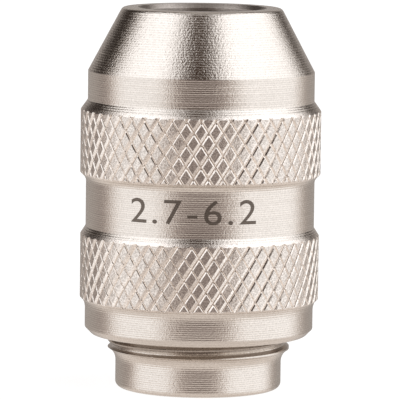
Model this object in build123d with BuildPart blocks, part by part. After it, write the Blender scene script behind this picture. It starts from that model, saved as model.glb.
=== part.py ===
from build123d import *
from math import cos, radians, sqrt, tan
import os

# Tap socket adapter: a two-jaw tap chuck that turns from a square socket drive.
# Millimetres, +Z up. The origin is the middle of the drive end, which the adapter stands on.
# The jaws slide along X, and the adapter is drawn closed, with its sleeve screwed down.

# Taps that it grips, by the square on the end of the shank
smallest_square = 2.7
largest_square = 6.2

# Jaws
jaw_gap = 0.6
jaw_lap = 0.875
jaw_height = 11.52
jaw_edge_break = 0.3
spring_hole_depth = 2.6
spring_hole_height = 1.5

# Springs that push the jaws apart
spring_diameter = 1.7
spring_wire = 0.3
spring_coils = 6

# Slotted head of the spindle
slot_width = 9.0
cheek_thickness = 2.4
head_taper = 0.75
head_web = 0.85
neck_depth = 0.6
neck_fillet = 0.4
head_edge_break = 0.3

# Thread between spindle and sleeve, drawn as plain cylinders
thread_depth = 0.46
thread_length = 7.6
thread_in_view = 1.21
thread_bevel = 0.4

# Drive end of the spindle, with its square socket
drive_square = 6.35
socket_depth = 8.5
socket_bevel = 0.5
pilot_diameter = 6.6
pilot_run = 1.5
drill_point_angle = 118
detent_height = 4.0
detent_width = 1.6
detent_diameter = 7.4
boss_step = 0.66
boss_height = 2.2
boss_fillet = 1.27
boss_edge_radius = 0.48

# Sleeve, from the inside out
cone_angle = 28
mouth_diameter = 10.0
mouth_depth = 1.01
mouth_bevel = 0.35
nose_wall = 1.9
nose_edge_radius = 0.5
sleeve_wall = 1.02
rib_height = 0.6

# Bands and knurls on the outside of the sleeve
foot_bevel = 0.52
foot_band = 1.54
lower_knurl_rise = 0.43
lower_knurl = 5.25
lower_knurl_taper = 0.67
lower_root_fillet = 1.57
upper_knurl_rise = 0.48
upper_knurl = 5.22
upper_knurl_taper = 0.82
upper_root_fillet = 0.7
nose_band = 2.42
nose_step = 0.1
knurl_edge_bevel = 0.25

# Retaining ring, a split ring that keeps the sleeve on
ring_width = 1.25
ring_thickness = 0.8
ring_mouth = 2.4
ring_catch = 0.4
ring_spread = 0.35

# Clearances
cone_fit = 0.06
slide_fit = 0.05
thread_fit = 0.05
drive_fit = 0.1
spring_fit = 0.1
seat_fit = 0.04
ring_fit = 0.1
jaw_room = 0.15
head_room = 0.22
neck_room = 0.3
stop_room = 0.4
top_room = 0.21
nose_room = 0.35

os.makedirs("parts", exist_ok=True)

# Jaw travel, and the sleeve travel that gives it
closed_corner = smallest_square / sqrt(2)
jaw_travel = (largest_square - smallest_square) / sqrt(2)
cone_slope = tan(radians(cone_angle))
sleeve_travel = jaw_travel / cone_slope

# Radii, from the jaws outwards
mouth_radius = mouth_diameter / 2
jaw_radius = mouth_radius + jaw_lap
jaw_width = slot_width - 2 * slide_fit
head_radius = slot_width / 2 + cheek_thickness
neck_radius = head_radius - neck_depth
thread_radius = head_radius + head_room + thread_depth
boss_radius = thread_radius - boss_step
thread_bore_radius = thread_radius + thread_fit
cavity_radius = jaw_radius + jaw_travel + jaw_room
band_radius = cavity_radius + sleeve_wall
nose_band_radius = band_radius - nose_step
ring_inner_radius = neck_radius + neck_room
ring_outer_radius = ring_inner_radius + ring_width
groove_radius = ring_outer_radius + ring_spread
rib_radius = ring_outer_radius - ring_catch


def run_height(radius, rise):
    """Height over which a concave fillet of this radius climbs by rise."""
    return sqrt(radius**2 - (radius - rise) ** 2)


# Heights, from the drive end upwards
thread_start = boss_height + run_height(boss_fillet, boss_step)
sleeve_foot = thread_start + thread_in_view
sleeve_thread_top = sleeve_foot + thread_length
spindle_thread_top = sleeve_thread_top - ring_fit
groove_top = sleeve_thread_top + ring_thickness + 2 * ring_fit
ring_foot = sleeve_thread_top + ring_fit
rib_top = groove_top + rib_height
head_foot = ring_foot + ring_thickness + sleeve_travel + stop_room
slot_floor = head_foot + head_web
jaw_foot = slot_floor + slide_fit
jaw_top = jaw_foot + jaw_height
cone_top = jaw_top + top_room
sleeve_top = cone_top + mouth_depth
spring_height = jaw_foot + spring_hole_height


def cone_height(radius):
    """Height at which the cone inside the closed sleeve has this radius."""
    return cone_top - (radius - mouth_radius) / cone_slope


head_shoulder = cone_height(head_radius + nose_room)
head_top = head_shoulder + head_taper
nose_offset = nose_wall / cos(radians(cone_angle))
nose_foot = cone_height(nose_band_radius - nose_offset)
nose_top_radius = mouth_radius + nose_offset - mouth_depth * cone_slope
upper_knurl_top = nose_foot - nose_band - upper_knurl_taper
upper_knurl_foot = upper_knurl_top - upper_knurl
foot_band_top = sleeve_foot + foot_bevel + foot_band
lower_knurl_run = run_height(lower_root_fillet, lower_knurl_rise - knurl_edge_bevel)
upper_knurl_run = run_height(upper_root_fillet, upper_knurl_rise - knurl_edge_bevel)
lower_knurl_foot = foot_band_top + lower_knurl_run + knurl_edge_bevel
lower_knurl_top = lower_knurl_foot + lower_knurl
middle_band_foot = lower_knurl_top + lower_knurl_taper
middle_band_top = upper_knurl_foot - knurl_edge_bevel - upper_knurl_run

# Springs lie halfway between the notch and the side of the jaw, below the end of the tap
notch_depth = closed_corner - jaw_gap / 2
spring_offset = (notch_depth + jaw_width / 2) / 2
spring_hole_diameter = spring_diameter + 2 * spring_fit
spring_length = jaw_gap + 2 * (spring_hole_depth - seat_fit)


def concave_run(start, radius, rise):
    """Fillet that leaves the cylinder at start and climbs outwards by rise."""
    swing = Vector(radius - rise, run_height(radius, rise)).get_angle(Vector(1, 0))
    centre = (start.X + radius, start.Y)
    return CenterArc(centre, radius, 180, -swing)


# Spindle: turned body with the square socket below and the jaw slot above
with BuildPart() as spindle:
    with BuildSketch(Plane.XZ):
        with BuildLine():
            Line((0, 0), (boss_radius - boss_edge_radius, 0))
            edge_centre = (boss_radius - boss_edge_radius, boss_edge_radius)
            CenterArc(edge_centre, boss_edge_radius, -90, 90)
            boss = Line((boss_radius, boss_edge_radius), (boss_radius, boss_height))
            run = concave_run(boss @ 1, boss_fillet, boss_step)
            Polyline(
                run @ 1,
                (thread_radius, spindle_thread_top - thread_bevel),
                (thread_radius - thread_bevel, spindle_thread_top),
                (neck_radius, spindle_thread_top),
                (neck_radius, head_foot),
                (head_radius, head_foot),
                (head_radius, head_shoulder),
                (head_radius - head_taper * cone_slope, head_top),
                (0, head_top),
                (0, 0),
            )
        make_face()
    revolve(axis=Axis.Z)
    neck_corner = spindle.edges().filter_by(GeomType.CIRCLE)
    neck_corner = neck_corner.filter_by(lambda e: abs(e.radius - neck_radius) < 1e-6)
    fillet(neck_corner.sort_by(Axis.Z)[0], radius=neck_fillet)
    # Slot that the jaws slide in, open at both sides and at the top
    with BuildSketch(Plane.XY.offset(slot_floor)):
        Rectangle(4 * head_radius, slot_width)
    extrude(amount=head_top - slot_floor, mode=Mode.SUBTRACT)
    cheek_tops = spindle.faces().filter_by(Axis.Z).group_by(Axis.Z)[-1]
    chamfer(cheek_tops.edges().filter_by(Axis.X), length=head_edge_break)
    # Drilled pilot, square socket, its lead-in and the groove for a detent ball
    with BuildSketch():
        Circle(pilot_diameter / 2)
    extrude(amount=socket_depth + pilot_run, mode=Mode.SUBTRACT)
    point_depth = pilot_diameter / 2 / tan(radians(drill_point_angle / 2))
    with Locations((0, 0, socket_depth + pilot_run)):
        Cone(
            pilot_diameter / 2,
            0,
            point_depth,
            align=(Align.CENTER, Align.CENTER, Align.MIN),
            mode=Mode.SUBTRACT,
        )
    socket_width = drive_square + drive_fit
    with BuildSketch():
        Rectangle(socket_width, socket_width)
    extrude(amount=socket_depth, mode=Mode.SUBTRACT)
    lead_in_radius = socket_width / sqrt(2) + socket_bevel / 2
    Cone(
        lead_in_radius,
        lead_in_radius - 2 * socket_bevel,
        2 * socket_bevel,
        align=(Align.CENTER, Align.CENTER, Align.MIN),
        mode=Mode.SUBTRACT,
    )
    with Locations((0, 0, detent_height)):
        Cylinder(detent_diameter / 2, detent_width, mode=Mode.SUBTRACT)
spindle.part.label = "spindle"
export_step(spindle.part, "parts/spindle.step")

# Sleeve: one turned shell, with the thread bore, ring groove, jaw room and cone inside
with BuildPart() as sleeve:
    with BuildSketch(Plane.XZ):
        with BuildLine():
            foot_inner = thread_bore_radius + thread_bevel
            outer_foot = Polyline(
                (foot_inner, sleeve_foot),
                (band_radius - foot_bevel, sleeve_foot),
                (band_radius, sleeve_foot + foot_bevel),
                (band_radius, foot_band_top),
            )
            lower_run = concave_run(
                outer_foot @ 1, lower_root_fillet, lower_knurl_rise - knurl_edge_bevel
            )
            middle = Polyline(
                lower_run @ 1,
                (band_radius + lower_knurl_rise, lower_knurl_foot),
                (band_radius + lower_knurl_rise, lower_knurl_top),
                (band_radius, middle_band_foot),
                (band_radius, middle_band_top),
            )
            upper_run = concave_run(
                middle @ 1, upper_root_fillet, upper_knurl_rise - knurl_edge_bevel
            )
            Polyline(
                upper_run @ 1,
                (band_radius + upper_knurl_rise, upper_knurl_foot),
                (band_radius + upper_knurl_rise, upper_knurl_top),
                (nose_band_radius, upper_knurl_top + upper_knurl_taper),
                (nose_band_radius, nose_foot),
                (nose_top_radius, sleeve_top),
                (mouth_radius + mouth_bevel, sleeve_top),
                (mouth_radius, sleeve_top - mouth_bevel),
                (mouth_radius, cone_top),
                (cavity_radius, cone_height(cavity_radius)),
                (cavity_radius, rib_top),
                (rib_radius, rib_top),
                (rib_radius, groove_top),
                (groove_radius, groove_top),
                (groove_radius, sleeve_thread_top),
                (thread_bore_radius, sleeve_thread_top),
                (thread_bore_radius, sleeve_foot + thread_bevel),
                (foot_inner, sleeve_foot),
            )
        make_face()
    revolve(axis=Axis.Z)
    nose_edge = sleeve.edges().filter_by(GeomType.CIRCLE).group_by(Axis.Z)[-1]
    fillet(nose_edge.sort_by(SortBy.RADIUS)[-1], radius=nose_edge_radius)
sleeve.part.label = "sleeve"
export_step(sleeve.part, "parts/sleeve.step")

# Retaining ring: it lies in the sleeve's groove and stops under the spindle's head
with BuildPart() as retaining_ring:
    with BuildSketch(Plane.XY.offset(ring_foot)):
        Circle(ring_outer_radius)
        Circle(ring_inner_radius, mode=Mode.SUBTRACT)
        with Locations((0, ring_outer_radius)):
            Rectangle(ring_mouth, 2 * ring_width + ring_outer_radius / 2, mode=Mode.SUBTRACT)
    extrude(amount=ring_thickness)
retaining_ring.part.label = "retaining_ring"
export_step(retaining_ring.part, "parts/retaining_ring.step")

# Jaw: a notched block with a round back, its top turned to the sleeve's cone
with BuildPart() as jaw_right:
    with BuildSketch(Plane.XY.offset(jaw_foot)):
        Circle(jaw_radius)
        Rectangle(2 * jaw_radius, jaw_width, mode=Mode.INTERSECT)
        with Locations((jaw_gap / 2, 0)):
            Rectangle(
                2 * jaw_radius, jaw_width, align=(Align.MAX, Align.CENTER), mode=Mode.SUBTRACT
            )
        Rectangle(smallest_square, smallest_square, rotation=45, mode=Mode.SUBTRACT)
    extrude(amount=jaw_height)
    with BuildSketch(Plane.XZ):
        Polygon(
            (0, jaw_foot),
            (jaw_radius, jaw_foot),
            (jaw_radius, cone_height(jaw_radius + cone_fit)),
            (mouth_radius + top_room * cone_slope - cone_fit, jaw_top),
            (0, jaw_top),
            align=None,
        )
    revolve(axis=Axis.Z, mode=Mode.INTERSECT)
    for side in (-1, 1):
        hole_mouth = Plane(origin=(jaw_gap / 2, side * spring_offset, spring_height), z_dir=(1, 0, 0))
        with BuildSketch(hole_mouth):
            Circle(spring_hole_diameter / 2)
        extrude(amount=spring_hole_depth, mode=Mode.SUBTRACT)
    back_foot = jaw_right.edges().group_by(Axis.Z)[0].sort_by(Axis.X)[-1]
    chamfer(back_foot, length=jaw_edge_break)
jaw_right.part.label = "jaw_right"
export_step(jaw_right.part, "parts/jaw_right.step")

with BuildPart() as jaw_left:
    add(jaw_right.part, rotation=(0, 0, 180))
jaw_left.part.label = "jaw_left"
export_step(jaw_left.part, "parts/jaw_left.step")

# Springs: coils that lie across the gap, seated in a blind hole of each jaw
coil_radius = (spring_diameter - spring_wire) / 2
coil_run = spring_length - spring_wire
for side, name in ((-1, "jaw_spring_front"), (1, "jaw_spring_rear")):
    coil_start = (-coil_run / 2, side * spring_offset, spring_height)
    with BuildPart() as spring:
        with BuildLine() as coil:
            Helix(coil_run / spring_coils, coil_run, coil_radius, coil_start, (1, 0, 0))
        with BuildSketch(Plane(coil.line @ 0, z_dir=coil.line % 0)):
            RegularPolygon(spring_wire / 2, 6)
        sweep(is_frenet=True)
    spring.part.label = name
    export_step(spring.part, f"parts/{name}.step")
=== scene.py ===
from math import acos, ceil, cos, degrees, hypot, pi, radians, sin, sqrt, tan

import bmesh
import bpy
from mathutils import Matrix, Vector


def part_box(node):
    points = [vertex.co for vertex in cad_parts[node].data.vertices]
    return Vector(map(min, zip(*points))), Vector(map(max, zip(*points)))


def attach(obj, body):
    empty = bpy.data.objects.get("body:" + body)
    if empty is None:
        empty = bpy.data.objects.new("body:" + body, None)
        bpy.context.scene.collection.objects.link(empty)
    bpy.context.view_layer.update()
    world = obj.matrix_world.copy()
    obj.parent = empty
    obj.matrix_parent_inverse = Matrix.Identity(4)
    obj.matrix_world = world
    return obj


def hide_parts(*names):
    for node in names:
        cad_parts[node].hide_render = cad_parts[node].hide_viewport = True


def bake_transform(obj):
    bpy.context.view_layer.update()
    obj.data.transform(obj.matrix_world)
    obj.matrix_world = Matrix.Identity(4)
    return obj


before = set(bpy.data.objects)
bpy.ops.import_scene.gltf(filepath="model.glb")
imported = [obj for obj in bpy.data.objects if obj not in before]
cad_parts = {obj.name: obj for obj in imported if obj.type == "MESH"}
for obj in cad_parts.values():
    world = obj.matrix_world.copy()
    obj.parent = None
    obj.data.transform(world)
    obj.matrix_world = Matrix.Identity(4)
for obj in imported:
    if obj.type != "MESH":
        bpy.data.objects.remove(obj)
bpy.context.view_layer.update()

# Sizes in metres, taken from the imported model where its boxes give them
MM = 0.001
sleeve_low, sleeve_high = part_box("sleeve")
spindle_low, spindle_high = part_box("spindle")
sleeve_foot = sleeve_low.z
sleeve_top = sleeve_high.z
upper_knurl_radius = sleeve_high.x
thread_radius = spindle_high.x

# Outside of the sleeve, from its foot up
band_radius = upper_knurl_radius - 0.48 * MM
foot_bevel = 0.52 * MM
foot_band_top = sleeve_foot + foot_bevel + 1.54 * MM
lower_knurl_radius = band_radius + 0.43 * MM
lower_root_fillet = 1.57 * MM
upper_root_fillet = 0.7 * MM
knurl_edge_bevel = 0.25 * MM
lower_knurl_height = 5.25 * MM
lower_knurl_taper = 0.67 * MM
upper_knurl_height = 5.22 * MM
upper_knurl_taper = 0.82 * MM
nose_band_radius = band_radius - 0.1 * MM
nose_band_height = 2.42 * MM

# Inside of the sleeve
cone_angle = radians(28)
nose_wall = 1.9 * MM
mouth_radius = 5.0 * MM
mouth_depth = 1.01 * MM
mouth_bevel = 0.35 * MM
cavity_radius = band_radius - 1.02 * MM
thread_bore_radius = thread_radius + 0.05 * MM
thread_bore_height = 7.6 * MM
thread_bevel = 0.4 * MM
ring_groove_radius = 8.2 * MM
ring_groove_height = 1.0 * MM
rib_radius = 7.45 * MM
rib_height = 0.6 * MM

# Small roundings of turned edges, which take at most rounding_share of the sides beside them
edge_break = 0.06 * MM
foot_edge_radius = 0.15 * MM
nose_edge_radius = 0.5 * MM
rounding_share = 0.45

# Knurl: two crossing families of V grooves, one rising and one falling towards +X. A groove's
# flanks before and after its root, counted towards +X, have widths in shares of the pitch.
# A fine cut runs along each root. Depths swing by track_unevenness from track to track, with
# track_beat radians between tracks. Faces less deep than land_depth are the lands.
knurl_starts = 52
knurl_helix = radians(33.2)
lower_cut = {
    "turn": radians(3.35),
    "rising": {"depth": 0.10 * MM, "before": 0.28, "after": 0.15},
    "falling": {"depth": 0.055 * MM, "before": 0.11, "after": 0.08},
}
upper_cut = {
    "turn": radians(3.7),
    "rising": {"depth": 0.10 * MM, "before": 0.26, "after": 0.16},
    "falling": {"depth": 0.08 * MM, "before": 0.14, "after": 0.13},
}
root_depth = 0.05 * MM
root_half_width = 0.05
groove_fade = 0.08 * MM
land_depth = 0.012 * MM
track_unevenness = 0.22
track_beat = 2.4

# Thread on the spindle, with its crest and root as shares of the pitch. Its flanks have
# painted shade, a darker nickel, but for unshaded_share of the depth at crest and at root.
thread_pitch = 0.75 * MM
thread_depth = 0.42 * MM
thread_crest = 0.12
thread_root = 0.14
thread_end = 0.05 * MM
thread_fade = 0.18 * MM
groove_at_front = 3.665 * MM
spindle_thread_top = sleeve_foot + 7.5 * MM
boss_height = 2.2 * MM
boss_fillet = 1.27 * MM
boss_step = 0.66 * MM
unshaded_share = 0.1

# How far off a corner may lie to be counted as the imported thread's
radius_margin = 0.01 * MM
height_margin = 0.001 * MM

# Springs across the gap of the jaws
spring_wire = 0.3 * MM
spring_coils = 6

# Numbers etched on the middle band, by their angles from the front
marks_text = "2.7-6.2"
marks_spacing = 1.15
marks_left = radians(-36)
marks_right = radians(28.7)
marks_foot = 14.63 * MM
marks_height = 2.02 * MM
marks_lift = 0.006 * MM

# How finely the meshes are divided, and how near two points are that become one
turn_steps = 384
thread_steps = 240
arc_steps = 6
coil_steps = 24
wire_sides = 10
marks_strips = 70
marks_resolution = 6
floor_sides = 96
weld_distance = 1e-8

# Material slots of the sleeve, and the second one of the spindle
TURNED, KNURLED, SHADED_BORE, LAND, NOSE = range(5)
SHADED = 1

# Studio: what the metal mirrors. Angles are in degrees, around the axis from the front, and
# up from the horizon. The sides of a light lean: each is at its first angle at the low end of
# light_lean, and at its second at the high end. Where the light is weaker than the first of
# fringe_strength it has the fringe's tone, and where it is stronger than the second, its own.
left_light = {"left": (-101.0, -112.0), "right": (-32.0, -30.0), "soft": 10.0, "level": 0.90}
right_light = {"left": (35.0, 23.0), "right": (120.0, 133.0), "soft": 11.0, "level": 0.96}
light_lean = (0.0, 32.0)
fringe_strength = (0.3, 0.9)
light_fringe = (1.32, 1.16, 1.04, 1)
light_low = (1.22, 1.225, 1.245, 1)
light_high = (1.56, 1.58, 1.63, 1)
room_low = (0.36, 0.308, 0.29, 1)
room_high = (0.05, 0.032, 0.024, 1)
room_rear = (0.42, 0.385, 0.36, 1)
side_high = (0.035, 0.028, 0.024, 1)
floor_near = (0.74, 0.675, 0.635, 1)
floor_far = (0.80, 0.735, 0.69, 1)
ceiling_tone = (0.36, 0.335, 0.32, 1)

# Angles between which one tone of the studio turns into the next
light_fade = (12.0, 42.0)
room_fade = (-2.0, 20.0)
side_fade = (100.0, 125.0)
side_rise = (3.0, 15.0)
low_rear_fade = (105.0, 140.0)
rear_fade = (148.0, 168.0)
floor_fade = (-84.0, -45.0)
room_to_floor = (-14.0, -34.0)
light_to_floor = (-17.0, -39.0)
ceiling_fade = (58.0, 76.0)

# Floor: a disc just under the tool, which the camera sees as white but for the shadow
floor_radius = 2.0
floor_gap = 0.002 * MM
floor_glow = 0.84
floor_mottle = 30.0
floor_dark = (0.34, 0.34, 0.34, 1)
floor_light = (0.36, 0.36, 0.36, 1)
white = (1, 1, 1, 1)

# Camera, as far away and as high as the photo's perspective says
view_height = 15.65 * MM
view_elevation = radians(6.25)
view_distance = 343 * MM
view_roll = radians(0.7)
sensor_width = 36.0
focal_pixels = 4116
picture_pixels = 400


def run_height(radius, rise):
    """Height over which a concave fillet of this radius climbs by rise."""
    return sqrt(radius**2 - (radius - rise) ** 2)


def cone_height(radius):
    """Height at which the cone inside the closed sleeve has this radius."""
    return sleeve_top - mouth_depth - (radius - mouth_radius) / tan(cone_angle)


# Heights and radii that follow from the sizes above
nose_offset = nose_wall / cos(cone_angle)
nose_foot = cone_height(nose_band_radius - nose_offset)
nose_top_radius = mouth_radius + nose_offset - mouth_depth * tan(cone_angle)
upper_knurl_top = nose_foot - nose_band_height - upper_knurl_taper
upper_knurl_foot = upper_knurl_top - upper_knurl_height
lower_run = run_height(lower_root_fillet, lower_knurl_radius - band_radius - knurl_edge_bevel)
upper_run = run_height(upper_root_fillet, upper_knurl_radius - band_radius - knurl_edge_bevel)
lower_knurl_foot = foot_band_top + lower_run + knurl_edge_bevel
lower_knurl_top = lower_knurl_foot + lower_knurl_height
middle_band_foot = lower_knurl_top + lower_knurl_taper
middle_band_top = upper_knurl_foot - knurl_edge_bevel - upper_run
thread_foot = boss_height + run_height(boss_fillet, boss_step)


# Mesh helpers
def place(angle, radius, height):
    """A point at this angle from the front, counted towards +X."""
    return Vector((radius * sin(angle), -radius * cos(angle), height))


def arc(centre, radius, start, end):
    """Points (radius, height) along an arc, angles in degrees from +R towards +Z."""
    points = []
    for step in range(arc_steps + 1):
        angle = radians(start + (end - start) * step / arc_steps)
        points.append((centre[0] + radius * cos(angle), centre[1] + radius * sin(angle)))
    return points


def eased(profile, ease, steps=3):
    """The profile with its corners rounded by ease, or by a corner's own third number."""
    points = [profile[0][:2]]
    for before, corner, after in zip(profile, profile[1:], profile[2:]):
        radius = corner[2] if len(corner) > 2 else ease
        middle = Vector(corner[:2])
        to_before = Vector(before[:2]) - middle
        to_after = Vector(after[:2]) - middle
        bend = pi - to_before.angle(to_after)
        longest = rounding_share * min(to_before.length, to_after.length)
        reach = min(radius * tan(bend / 2), longest)
        first = middle + to_before.normalized() * reach
        last = middle + to_after.normalized() * reach
        for step in range(steps + 1):
            t = step / steps
            points.append(tuple(first * (1 - t) ** 2 + middle * 2 * t * (1 - t) + last * t**2))
    points.append(profile[-1][:2])
    return points


def lathe(mesh, profile, material=TURNED):
    """Adds the profile of (radius, height) points turned once round the axis."""
    rings = []
    angles = [2 * pi * k / turn_steps for k in range(turn_steps)]
    for radius, height in profile:
        rings.append([mesh.verts.new(place(angle, radius, height)) for angle in angles])
    for lower, upper in zip(rings, rings[1:]):
        for k in range(turn_steps):
            after = (k + 1) % turn_steps
            face = mesh.faces.new((lower[k], lower[after], upper[after], upper[k]))
            face.material_index = material


def cut_levels(flat, levels):
    """Cuts an unrolled mesh at these heights, and drops what lies outside the end ones."""
    for height in levels:
        bmesh.ops.bisect_plane(
            flat,
            geom=flat.verts[:] + flat.edges[:] + flat.faces[:],
            dist=weld_distance,
            plane_co=(0, 0, height),
            plane_no=(0, 0, 1),
            clear_inner=height == levels[0],
            clear_outer=height == levels[-1],
        )


def wrap(flat, mesh, placed, material=0):
    """Adds the faces of an unrolled mesh, with each corner where placed(x, z) puts it."""
    corners = {vert: mesh.verts.new(placed(vert.co.x, vert.co.z)) for vert in flat.verts}
    faces = [mesh.faces.new([corners[vert] for vert in face.verts]) for face in flat.faces]
    for face in faces:
        face.material_index = material
    flat.free()
    return faces


def depth_under(radius, face):
    """How far the middle of a face lies under this radius."""
    middle = face.calc_center_median()
    return radius - hypot(middle.x, middle.y)


def finish_mesh(mesh, name, materials, body=None, sharp=30):
    """Makes an object of the mesh, smooth but for its sharp edges, that rides on a body."""
    bmesh.ops.remove_doubles(mesh, verts=mesh.verts, dist=weld_distance)
    data = bpy.data.meshes.new(name)
    mesh.to_mesh(data)
    mesh.free()
    data.shade_smooth()
    data.set_sharp_from_angle(angle=radians(sharp))
    piece = bpy.data.objects.new(name, data)
    bpy.context.scene.collection.objects.link(piece)
    for material in materials:
        data.materials.append(material)
    if body:
        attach(piece, body)
    return piece


# Node helpers
def put(tree, socket, value):
    """Links a socket's output to this input, or sets the input to a plain value."""
    if isinstance(value, bpy.types.NodeSocket):
        tree.links.new(value, socket)
    else:
        socket.default_value = value


def calc(tree, operation, *values):
    """A Math node, and its result."""
    node = tree.nodes.new("ShaderNodeMath")
    node.operation = operation
    for socket, value in zip(node.inputs, values):
        put(tree, socket, value)
    return node.outputs[0]


def remap(tree, value, low, high, at_low, at_high):
    """A smooth Map Range node: at_low where value is low, at_high where it is high."""
    node = tree.nodes.new("ShaderNodeMapRange")
    node.interpolation_type = "SMOOTHSTEP"
    names = ("Value", "From Min", "From Max", "To Min", "To Max")
    for name, given in zip(names, (value, low, high, at_low, at_high)):
        put(tree, node.inputs[name], given)
    return node.outputs[0]


def fade(tree, value, ends):
    """0 where value is at the first end, 1 where it is at the second."""
    return remap(tree, value, *ends, 0.0, 1.0)


def blend_colour(tree, factor, first, second):
    """A Mix node: the first colour at factor 0, the second at 1."""
    node = tree.nodes.new("ShaderNodeMix")
    node.data_type = "RGBA"
    put(tree, node.inputs["Factor"], factor)
    put(tree, node.inputs["A"], first)
    put(tree, node.inputs["B"], second)
    return node.outputs["Result"]


def noise(tree, vector, scale, detail=2.0, roughness=0.5):
    """A Noise node, which gives values around a half."""
    node = tree.nodes.new("ShaderNodeTexNoise")
    put(tree, node.inputs["Vector"], vector)
    node.inputs["Scale"].default_value = scale
    node.inputs["Detail"].default_value = detail
    node.inputs["Roughness"].default_value = roughness
    return node.outputs["Fac"]


def stretched(tree, coordinates, scale):
    """The coordinates with each axis scaled by its own factor."""
    node = tree.nodes.new("ShaderNodeMapping")
    put(tree, node.inputs["Vector"], coordinates)
    node.inputs["Scale"].default_value = scale
    return node.outputs["Vector"]


# Metals: a noise lies mostly in noise_span. Turning lines vary in strength down to
# faintest_line, and scratches run beside them. Both vary by a noise that is drawn out along
# the turn: its coordinates are scaled by along_turn across the axis, and to the feed along it.
# A Wave node of scale 1 goes through wave_rate radians a metre. The tone of a turned metal
# comes from its grain and its lines.
noise_span = (0.3, 0.7)
roughness_swing = 0.03
faintest_line = 0.3
strength_scale = 0.6
scratch_scale = 1.7
scratch_share = 0.5
along_turn = 20.0
wave_rate = 20
grain_in_tone = 0.4
lines_in_tone = 0.5


def metal(name, colour, stain, roughness, grain, lines=None):
    """A worked metal with a fine grain, and with turning lines if they are given.

    Grain is a size and a height, and lines are a feed and a height, all in metres. The low
    grain, and the bottoms of the lines, take the stain."""
    material = bpy.data.materials.new(name)
    material.use_nodes = True
    tree = material.node_tree
    shader = tree.nodes["Principled BSDF"]
    shader.inputs["Metallic"].default_value = 1.0
    at = tree.nodes.new("ShaderNodeTexCoord").outputs["Object"]
    grain_size, grain_height = grain
    speckle = noise(tree, at, 1 / grain_size, detail=3.0, roughness=0.6)
    height = calc(tree, "MULTIPLY", speckle, grain_height)
    tone = fade(tree, speckle, noise_span)
    if lines:
        feed, line_height = lines
        wave = tree.nodes.new("ShaderNodeTexWave")
        wave.bands_direction = "Z"
        put(tree, wave.inputs["Vector"], at)
        wave.inputs["Scale"].default_value = 2 * pi / (wave_rate * feed)
        along = stretched(tree, at, (along_turn, along_turn, 1.0 / feed))
        unevenness = noise(tree, along, strength_scale)
        strength = remap(tree, unevenness, *noise_span, faintest_line, 1.0)
        grooves = calc(tree, "MULTIPLY", wave.outputs["Fac"], strength)
        scratches = noise(tree, along, scratch_scale, detail=3.0, roughness=0.7)
        rings = calc(tree, "MULTIPLY_ADD", scratches, scratch_share, grooves)
        height = calc(tree, "MULTIPLY_ADD", rings, line_height, height)
        line_tone = calc(tree, "MULTIPLY", rings, lines_in_tone)
        tone = calc(tree, "MULTIPLY_ADD", tone, grain_in_tone, line_tone)
    put(tree, shader.inputs["Base Color"], blend_colour(tree, tone, stain, colour))
    rougher, smoother = roughness + roughness_swing, roughness - roughness_swing
    put(tree, shader.inputs["Roughness"], remap(tree, speckle, *noise_span, rougher, smoother))
    bump = tree.nodes.new("ShaderNodeBump")
    bump.inputs["Distance"].default_value = 1.0
    put(tree, bump.inputs["Height"], height)
    put(tree, shader.inputs["Normal"], bump.outputs["Normal"])
    return material


nickel = (0.90, 0.84, 0.775, 1)
nickel_stain = (0.62, 0.567, 0.515, 1)
turned_nickel = metal(
    "turned_nickel",
    colour=nickel,
    stain=nickel_stain,
    roughness=0.17,
    grain=(0.14 * MM, 0.022 * MM),
    lines=(0.175 * MM, 0.014 * MM),
)
nose_nickel = metal(
    "nose_nickel",
    colour=nickel,
    stain=nickel_stain,
    roughness=0.115,
    grain=(0.155 * MM, 0.028 * MM),
    lines=(0.19 * MM, 0.009 * MM),
)
land_nickel = metal(
    "land_nickel",
    colour=(0.88, 0.81, 0.747, 1),
    stain=(0.50, 0.453, 0.41, 1),
    roughness=0.17,
    grain=(0.14 * MM, 0.028 * MM),
)
knurled_nickel = metal(
    "knurled_nickel",
    colour=(1.0, 0.93, 0.865, 1),
    stain=(0.74, 0.675, 0.615, 1),
    roughness=0.24,
    grain=(0.13 * MM, 0.016 * MM),
)
# Inside of the sleeve: a darker, rougher nickel, painted shade for the dark inside of the bore
shaded_bore_nickel = metal(
    "shaded_bore_nickel",
    colour=(0.5, 0.45, 0.41, 1),
    stain=(0.34, 0.30, 0.27, 1),
    roughness=0.32,
    grain=(0.1 * MM, 0.01 * MM),
)
# Thread flanks: a darker nickel, painted shade for the shade in the thread groove
shaded_nickel = metal(
    "shaded_nickel",
    colour=(0.50, 0.44, 0.39, 1),
    stain=(0.34, 0.295, 0.255, 1),
    roughness=0.15,
    grain=(0.1 * MM, 0.006 * MM),
)
ground_steel = metal(
    "ground_steel",
    colour=(0.52, 0.505, 0.49, 1),
    stain=(0.38, 0.365, 0.35, 1),
    roughness=0.3,
    grain=(0.08 * MM, 0.003 * MM),
)
spring_steel = metal(
    "spring_steel",
    colour=(0.64, 0.63, 0.62, 1),
    stain=(0.5, 0.49, 0.48, 1),
    roughness=0.22,
    grain=(0.05 * MM, 0.001 * MM),
)
ring_steel = metal(
    "ring_steel",
    colour=(0.17, 0.165, 0.16, 1),
    stain=(0.10, 0.095, 0.09, 1),
    roughness=0.4,
    grain=(0.07 * MM, 0.003 * MM),
)
etched_marks = metal(
    "etched_marks",
    colour=(0.24, 0.20, 0.17, 1),
    stain=(0.12, 0.10, 0.085, 1),
    roughness=0.5,
    grain=(0.08 * MM, 0.01 * MM),
    lines=(0.175 * MM, 0.004 * MM),
)


# Knurled bands
def groove_depth(phase, groove):
    """Depth of a groove that has its root at each whole phase, a little uneven by track."""
    track = round(phase)
    away = phase - track
    width = groove["after"] if away > 0 else groove["before"]
    uneven = 1 + track_unevenness * sin(track_beat * (track % knurl_starts))
    flank = groove["depth"] * uneven * max(0.0, 1 - abs(away) / width)
    return flank + root_depth * max(0.0, 1 - abs(away) / root_half_width)


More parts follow.
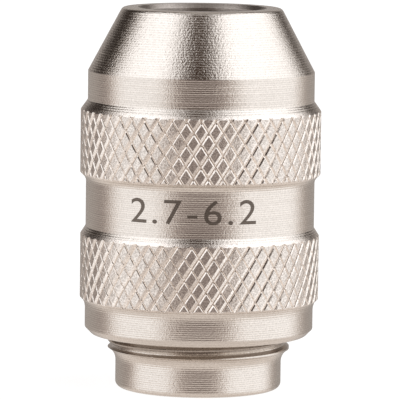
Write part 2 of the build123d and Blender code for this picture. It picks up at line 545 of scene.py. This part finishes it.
def lattice_steps(groove):
    """Phases, from one root to the next, at which the mesh has its lines."""
    before, after = groove["before"], groove["after"]
    middle = (after + 1 - before) / 2
    return [0, root_half_width, after, middle, 1 - before, 1 - before / 2, 1 - root_half_width]


def knurl(mesh, cut, radius, foot, top, taper, taper_rise):
    """Adds a knurled band on the lattice of its own grooves, cut off by its two bevels.

    The lattice reaches beyond the band, and is cut at its levels. Returns the points
    (radius, height) at which the band ends below and above."""
    rising, falling = cut["rising"], cut["falling"]
    pitch = 2 * pi * radius / knurl_starts
    per_height = 2 * tan(knurl_helix) / pitch
    deepest = rising["depth"] * (1 + track_unevenness) + root_depth
    low = foot - deepest
    high = top + taper * deepest / taper_rise
    rising_steps = lattice_steps(rising)
    falling_steps = lattice_steps(falling)
    count = len(rising_steps)
    first = int(low * per_height) * count - count
    last = ceil(high * per_height) * count + count
    flat = bmesh.new()
    corners = {}
    for a in range(knurl_starts * count + 1):
        for b in range(first, last + 1):
            u = a // count + rising_steps[a % count]
            v = (a + b) // count + falling_steps[(a + b) % count]
            corners[a, b] = flat.verts.new(((u + v) / 2 * pitch, 0, (v - u) / per_height))
    for a in range(knurl_starts * count):
        for b in range(first + 1, last):
            ring = (corners[a, b], corners[a + 1, b - 1], corners[a + 1, b], corners[a, b + 1])
            flat.faces.new(ring)
    cut_levels(flat, [low, foot - groove_fade, foot, top, top + groove_fade, high])

    def placed(x, z):
        u = x / pitch - z * per_height / 2
        v = x / pitch + z * per_height / 2
        depth = max(groove_depth(u, rising), groove_depth(v, falling))
        depth *= min(1.0, max(0.0, 1 - max(foot - z, z - top) / groove_fade))
        end = max(foot - z, taper_rise * (z - top) / taper, 0.0)
        return place(x / radius + cut["turn"], radius - max(depth, end), z)

    for face in wrap(flat, mesh, placed, KNURLED):
        if depth_under(radius, face) < land_depth:
            face.material_index = LAND
    return (radius - deepest, low), (radius - deepest, high)


# Sleeve: turned skin and two knurled bands, all one piece
def root_fillet(band_top, fillet, knurl_radius, knurl_end):
    """Points of the concave fillet and bevel between a band's top and the knurl above it."""
    rise = knurl_radius - knurl_edge_bevel - band_radius
    swing = degrees(acos(1 - rise / fillet))
    centre = (band_radius + fillet, band_top)
    return arc(centre, fillet, 180, 180 - swing) + [knurl_end]


def make_sleeve():
    mesh = bmesh.new()
    lower_foot, lower_top = knurl(
        mesh,
        lower_cut,
        lower_knurl_radius,
        foot=lower_knurl_foot,
        top=lower_knurl_top,
        taper=lower_knurl_taper,
        taper_rise=lower_knurl_radius - band_radius,
    )
    upper_foot, upper_top = knurl(
        mesh,
        upper_cut,
        upper_knurl_radius,
        foot=upper_knurl_foot,
        top=upper_knurl_top,
        taper=upper_knurl_taper,
        taper_rise=upper_knurl_radius - nose_band_radius,
    )
    foot = [
        (thread_bore_radius, sleeve_foot + thread_bevel),
        (thread_bore_radius + thread_bevel, sleeve_foot),
        (band_radius - foot_bevel, sleeve_foot, foot_edge_radius),
        (band_radius, sleeve_foot + foot_bevel, foot_edge_radius),
        (band_radius, foot_band_top),
    ]
    run = root_fillet(foot_band_top, lower_root_fillet, lower_knurl_radius, lower_foot)
    lathe(mesh, eased(foot, edge_break)[:-1] + run)
    middle = [lower_top, (band_radius, middle_band_foot), (band_radius, middle_band_top)]
    run = root_fillet(middle_band_top, upper_root_fillet, upper_knurl_radius, upper_foot)
    lathe(mesh, eased(middle, edge_break)[:-1] + run)
    nose = [
        upper_top,
        (nose_band_radius, upper_knurl_top + upper_knurl_taper),
        (nose_band_radius, nose_foot),
        (nose_top_radius, sleeve_top, nose_edge_radius),
        (mouth_radius + mouth_bevel, sleeve_top),
    ]
    lathe(mesh, eased(nose, edge_break, steps=5))
    for face in mesh.faces:
        if face.material_index == TURNED and face.calc_center_median().z > nose_foot:
            face.material_index = NOSE
    bore_top = sleeve_foot + thread_bore_height
    ring_groove_top = bore_top + ring_groove_height
    inside = [
        (mouth_radius + mouth_bevel, sleeve_top),
        (mouth_radius, sleeve_top - mouth_bevel),
        (mouth_radius, sleeve_top - mouth_depth),
        (cavity_radius, cone_height(cavity_radius)),
        (cavity_radius, ring_groove_top + rib_height),
        (rib_radius, ring_groove_top + rib_height),
        (rib_radius, ring_groove_top),
        (ring_groove_radius, ring_groove_top),
        (ring_groove_radius, bore_top),
        (thread_bore_radius, bore_top),
        (thread_bore_radius, sleeve_foot + thread_bevel),
    ]
    # The mouth bore, cone and cavity take the darker nickel, painted shade
    lathe(mesh, eased(inside, edge_break), SHADED_BORE)
    materials = [turned_nickel, knurled_nickel, shaded_bore_nickel, land_nickel, nose_nickel]
    piece = finish_mesh(mesh, "knurled_sleeve", materials, "sleeve", sharp=14)
    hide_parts("sleeve")


# Marks: plain numbers etched on the middle band, the squares that the jaws take
def make_marks():
    curve = bpy.data.curves.new("mark_outline", "FONT")
    curve.body = marks_text
    curve.space_character = marks_spacing
    curve.resolution_u = marks_resolution
    outline = bpy.data.objects.new("mark_outline", curve)
    bpy.context.scene.collection.objects.link(outline)
    bpy.context.view_layer.update()
    flat = bmesh.new()
    flat.from_mesh(outline.to_mesh())
    bpy.data.objects.remove(outline)
    bpy.data.curves.remove(curve)
    xs = [vert.co.x for vert in flat.verts]
    ys = [vert.co.y for vert in flat.verts]
    left, width = min(xs), max(xs) - min(xs)
    foot, height = min(ys), max(ys) - min(ys)
    for k in range(1, marks_strips):
        bmesh.ops.bisect_plane(
            flat,
            geom=flat.verts[:] + flat.edges[:] + flat.faces[:],
            plane_co=(left + width * k / marks_strips, 0, 0),
            plane_no=(1, 0, 0),
        )
    for vert in flat.verts:
        vert.co = ((vert.co.x - left) / width, 0, (vert.co.y - foot) / height)

    def placed(x, z):
        angle = marks_left + (marks_right - marks_left) * x
        return place(angle, band_radius + marks_lift, marks_foot + marks_height * z)

    mesh = bmesh.new()
    wrap(flat, mesh, placed)
    piece = finish_mesh(mesh, "size_marks", [etched_marks], "sleeve")


# Spindle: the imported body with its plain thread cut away, and a real thread in its place
def thread_skin(mesh):
    """Adds the threaded stretch, whose groove fades out above the boss.

    The unrolled mesh has a few turns too many, and is cut at its levels."""
    crest = [0.0, thread_crest / 2]
    root = [0.5 - thread_root / 2, 0.5, 0.5 + thread_root / 2]
    rows = crest + [(crest[1] + root[0]) / 2] + root + [(root[2] + 1 - crest[1]) / 2, 1 - crest[1]]
    first = int(thread_foot / thread_pitch) - 3
    last = ceil(spindle_thread_top / thread_pitch) + 2
    heights = [(turn + row) * thread_pitch for turn in range(first, last) for row in rows]
    flat = bmesh.new()
    grid = []
    for k in range(thread_steps + 1):
        angle = 2 * pi * k / thread_steps
        climb = thread_pitch * k / thread_steps
        grid.append([flat.verts.new((angle, 0, height + climb)) for height in heights])
    for before, after in zip(grid, grid[1:]):
        for row in range(len(heights) - 1):
            flat.faces.new((before[row], after[row], after[row + 1], before[row + 1]))
    bevel_foot = spindle_thread_top - thread_bevel
    cut_levels(flat, [thread_foot, thread_foot + thread_end, bevel_foot, spindle_thread_top])
    flank = 0.5 - thread_crest / 2 - thread_root / 2

    def placed(angle, z):
        turns = (z - groove_at_front) / thread_pitch - angle / (2 * pi)
        away = turns - round(turns)
        share = min(1.0, max(0.0, (0.5 - thread_crest / 2 - abs(away)) / flank))
        root_height = z - away * thread_pitch
        share *= min(1.0, max(0.0, (root_height - thread_foot) / thread_fade))
        share *= min(1.0, (z - thread_foot) / thread_end)
        bevel = max(0.0, z - bevel_foot)
        return place(angle, thread_radius - max(thread_depth * share, bevel), z)

    # Faces on the flanks take the darker nickel of painted shade
    for face in wrap(flat, mesh, placed):
        share = depth_under(thread_radius, face) / thread_depth
        if unshaded_share < share < 1 - unshaded_share:
            face.material_index = SHADED


def on_plain_thread(face):
    """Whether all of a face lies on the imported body's plain thread, or on its bevel."""
    least_radius = thread_radius - thread_bevel - radius_margin
    low, high = thread_foot - height_margin, spindle_thread_top + height_margin
    points = [vert.co for vert in face.verts]
    return all(hypot(co.x, co.y) > least_radius and low < co.z < high for co in points)


def make_spindle():
    mesh = bmesh.new()
    mesh.from_mesh(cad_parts["spindle"].data)
    plain = [face for face in mesh.faces if on_plain_thread(face)]
    bmesh.ops.delete(mesh, geom=plain, context="FACES")
    thread_skin(mesh)
    piece = finish_mesh(mesh, "threaded_spindle", [turned_nickel, shaded_nickel], "spindle")
    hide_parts("spindle")


# Springs: each is two halves, wound from the middle out towards each jaw
def half_coil(centre, coil_radius, reach):
    """Mesh of half a spring, wound from its centre out to a signed reach along X."""
    side = 1 if reach > 0 else -1
    along = Vector((side, 0, 0))
    steps = coil_steps * spring_coils // 2
    mesh = bmesh.new()
    rings = []
    for k in range(steps + 1):
        turn = pi * spring_coils * k / steps
        out = Vector((0, cos(turn), side * sin(turn)))
        at = centre + out * coil_radius
        at.x = (reach - side * spring_wire / 2) * k / steps
        ring = []
        for m in range(wire_sides):
            angle = 2 * pi * m / wire_sides
            offset = out * cos(angle) + along * sin(angle)
            ring.append(mesh.verts.new(at + offset * spring_wire / 2))
        rings.append(ring)
    for before, after in zip(rings, rings[1:]):
        for m in range(wire_sides):
            n = (m + 1) % wire_sides
            mesh.faces.new((before[m], before[n], after[n], after[m]))
    mesh.faces.new(rings[0])
    mesh.faces.new(rings[-1])
    bmesh.ops.recalc_face_normals(mesh, faces=mesh.faces)
    return mesh


def make_springs():
    for row in ("front", "rear"):
        low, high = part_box(f"jaw_spring_{row}")
        coil_radius = (high.z - low.z) / 2 - spring_wire / 2
        for jaw, reach in (("jaw_left", -high.x), ("jaw_right", high.x)):
            mesh = half_coil((low + high) / 2, coil_radius, reach)
            piece = finish_mesh(mesh, f"coil_{row}_{jaw[4:]}", [spring_steel], sharp=60)
            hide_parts(f"jaw_spring_{row}")
            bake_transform(piece)


make_sleeve()
make_marks()
make_spindle()
make_springs()
for node, material in (
    ("jaw_left", ground_steel),
    ("jaw_right", ground_steel),
    ("retaining_ring", ring_steel),
):
    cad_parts[node].material_slots[0].material = material


# Studio: a white floor, and two broad soft lights that the metal mirrors
def span(tree, angle, left, right, soft):
    """1 from the left angle to the right one, in degrees, with soft edges."""
    edges = []
    for sign, edge in ((-1, left), (1, right)):
        past = calc(tree, "MULTIPLY", calc(tree, "SUBTRACT", angle, edge), sign)
        edges.append(remap(tree, past, -soft, soft, 1.0, 0.0))
    return calc(tree, "MULTIPLY", *edges)


def make_world():
    world = bpy.data.worlds.new("studio")
    bpy.context.scene.world = world
    world.use_nodes = True
    tree = world.node_tree
    split = tree.nodes.new("ShaderNodeSeparateXYZ")
    put(tree, split.inputs[0], tree.nodes.new("ShaderNodeTexCoord").outputs["Generated"])
    x, y, z = split.outputs
    turn = calc(tree, "DEGREES", calc(tree, "ARCTAN2", x, calc(tree, "MULTIPLY", y, -1.0)))
    aside = calc(tree, "ABSOLUTE", turn)
    height = calc(tree, "DEGREES", calc(tree, "ARCSINE", z))

    levels = []
    for light in (left_light, right_light):
        left = remap(tree, height, *light_lean, *light["left"])
        right = remap(tree, height, *light_lean, *light["right"])
        inside = span(tree, turn, left, right, light["soft"])
        levels.append(calc(tree, "MULTIPLY", inside, light["level"]))
    lit = calc(tree, "MAXIMUM", *levels)
    lamp = blend_colour(tree, fade(tree, height, light_fade), light_low, light_high)
    lamp = blend_colour(tree, fade(tree, lit, fringe_strength), light_fringe, lamp)

    room = blend_colour(tree, fade(tree, height, room_fade), room_low, room_high)
    shade = remap(tree, aside, *side_fade, 0.0, fade(tree, height, side_rise))
    room = blend_colour(tree, shade, room, side_high)
    low_down = remap(tree, height, *side_rise, 1.0, 0.0)
    behind = remap(tree, aside, *low_rear_fade, 0.0, low_down)
    behind = calc(tree, "MAXIMUM", behind, fade(tree, aside, rear_fade))
    room = blend_colour(tree, behind, room, room_rear)

    floor = blend_colour(tree, fade(tree, height, floor_fade), floor_near, floor_far)
    room = blend_colour(tree, fade(tree, height, room_to_floor), room, floor)
    lamp = blend_colour(tree, fade(tree, height, light_to_floor), lamp, floor)
    under = blend_colour(tree, lit, room, lamp)
    mirrored = blend_colour(tree, fade(tree, height, ceiling_fade), under, ceiling_tone)
    path = tree.nodes.new("ShaderNodeLightPath")
    seen = blend_colour(tree, path.outputs["Is Camera Ray"], mirrored, white)
    put(tree, tree.nodes["Background"].inputs["Color"], seen)


def make_floor():
    mesh = bmesh.new()
    ring = []
    for k in range(floor_sides):
        angle = 2 * pi * k / floor_sides
        ring.append(mesh.verts.new((floor_radius * cos(angle), floor_radius * sin(angle), 0)))
    mesh.faces.new(ring)
    data = bpy.data.meshes.new("floor")
    mesh.to_mesh(data)
    mesh.free()
    floor = bpy.data.objects.new("floor", data)
    bpy.context.scene.collection.objects.link(floor)
    floor.location.z = spindle_low.z - floor_gap
    material = bpy.data.materials.new("white_floor")
    material.use_nodes = True
    tree = material.node_tree
    shader = tree.nodes["Principled BSDF"]
    at = tree.nodes.new("ShaderNodeTexCoord").outputs["Object"]
    shade = blend_colour(tree, noise(tree, at, floor_mottle), floor_dark, floor_light)
    put(tree, shader.inputs["Base Color"], shade)
    shader.inputs["Roughness"].default_value = 0.9
    shader.inputs["Specular IOR Level"].default_value = 0.0
    put(tree, shader.inputs["Emission Color"], white)
    path = tree.nodes.new("ShaderNodeLightPath")
    glow = calc(tree, "MULTIPLY", path.outputs["Is Camera Ray"], floor_glow)
    put(tree, shader.inputs["Emission Strength"], glow)
    data.materials.append(material)
    floor.visible_glossy = False


def make_camera():
    camera = bpy.data.cameras.new("camera")
    camera.sensor_width = sensor_width
    camera.lens = sensor_width * focal_pixels / picture_pixels
    camera.clip_start = 0.01
    camera.clip_end = 20.0
    eye = bpy.data.objects.new("camera", camera)
    bpy.context.scene.collection.objects.link(eye)
    back = Vector((0, -cos(view_elevation), sin(view_elevation)))
    eye.location = Vector((0, 0, view_height)) + back * view_distance
    turned = back.to_track_quat("Z", "Y").to_matrix().to_4x4()
    roll = Matrix.Rotation(view_roll, 4, "Z")
    eye.matrix_world = Matrix.Translation(eye.location) @ turned @ roll
    bpy.context.scene.camera = eye


make_world()
make_floor()
make_camera()
bpy.context.scene.view_settings.view_transform = "Standard"
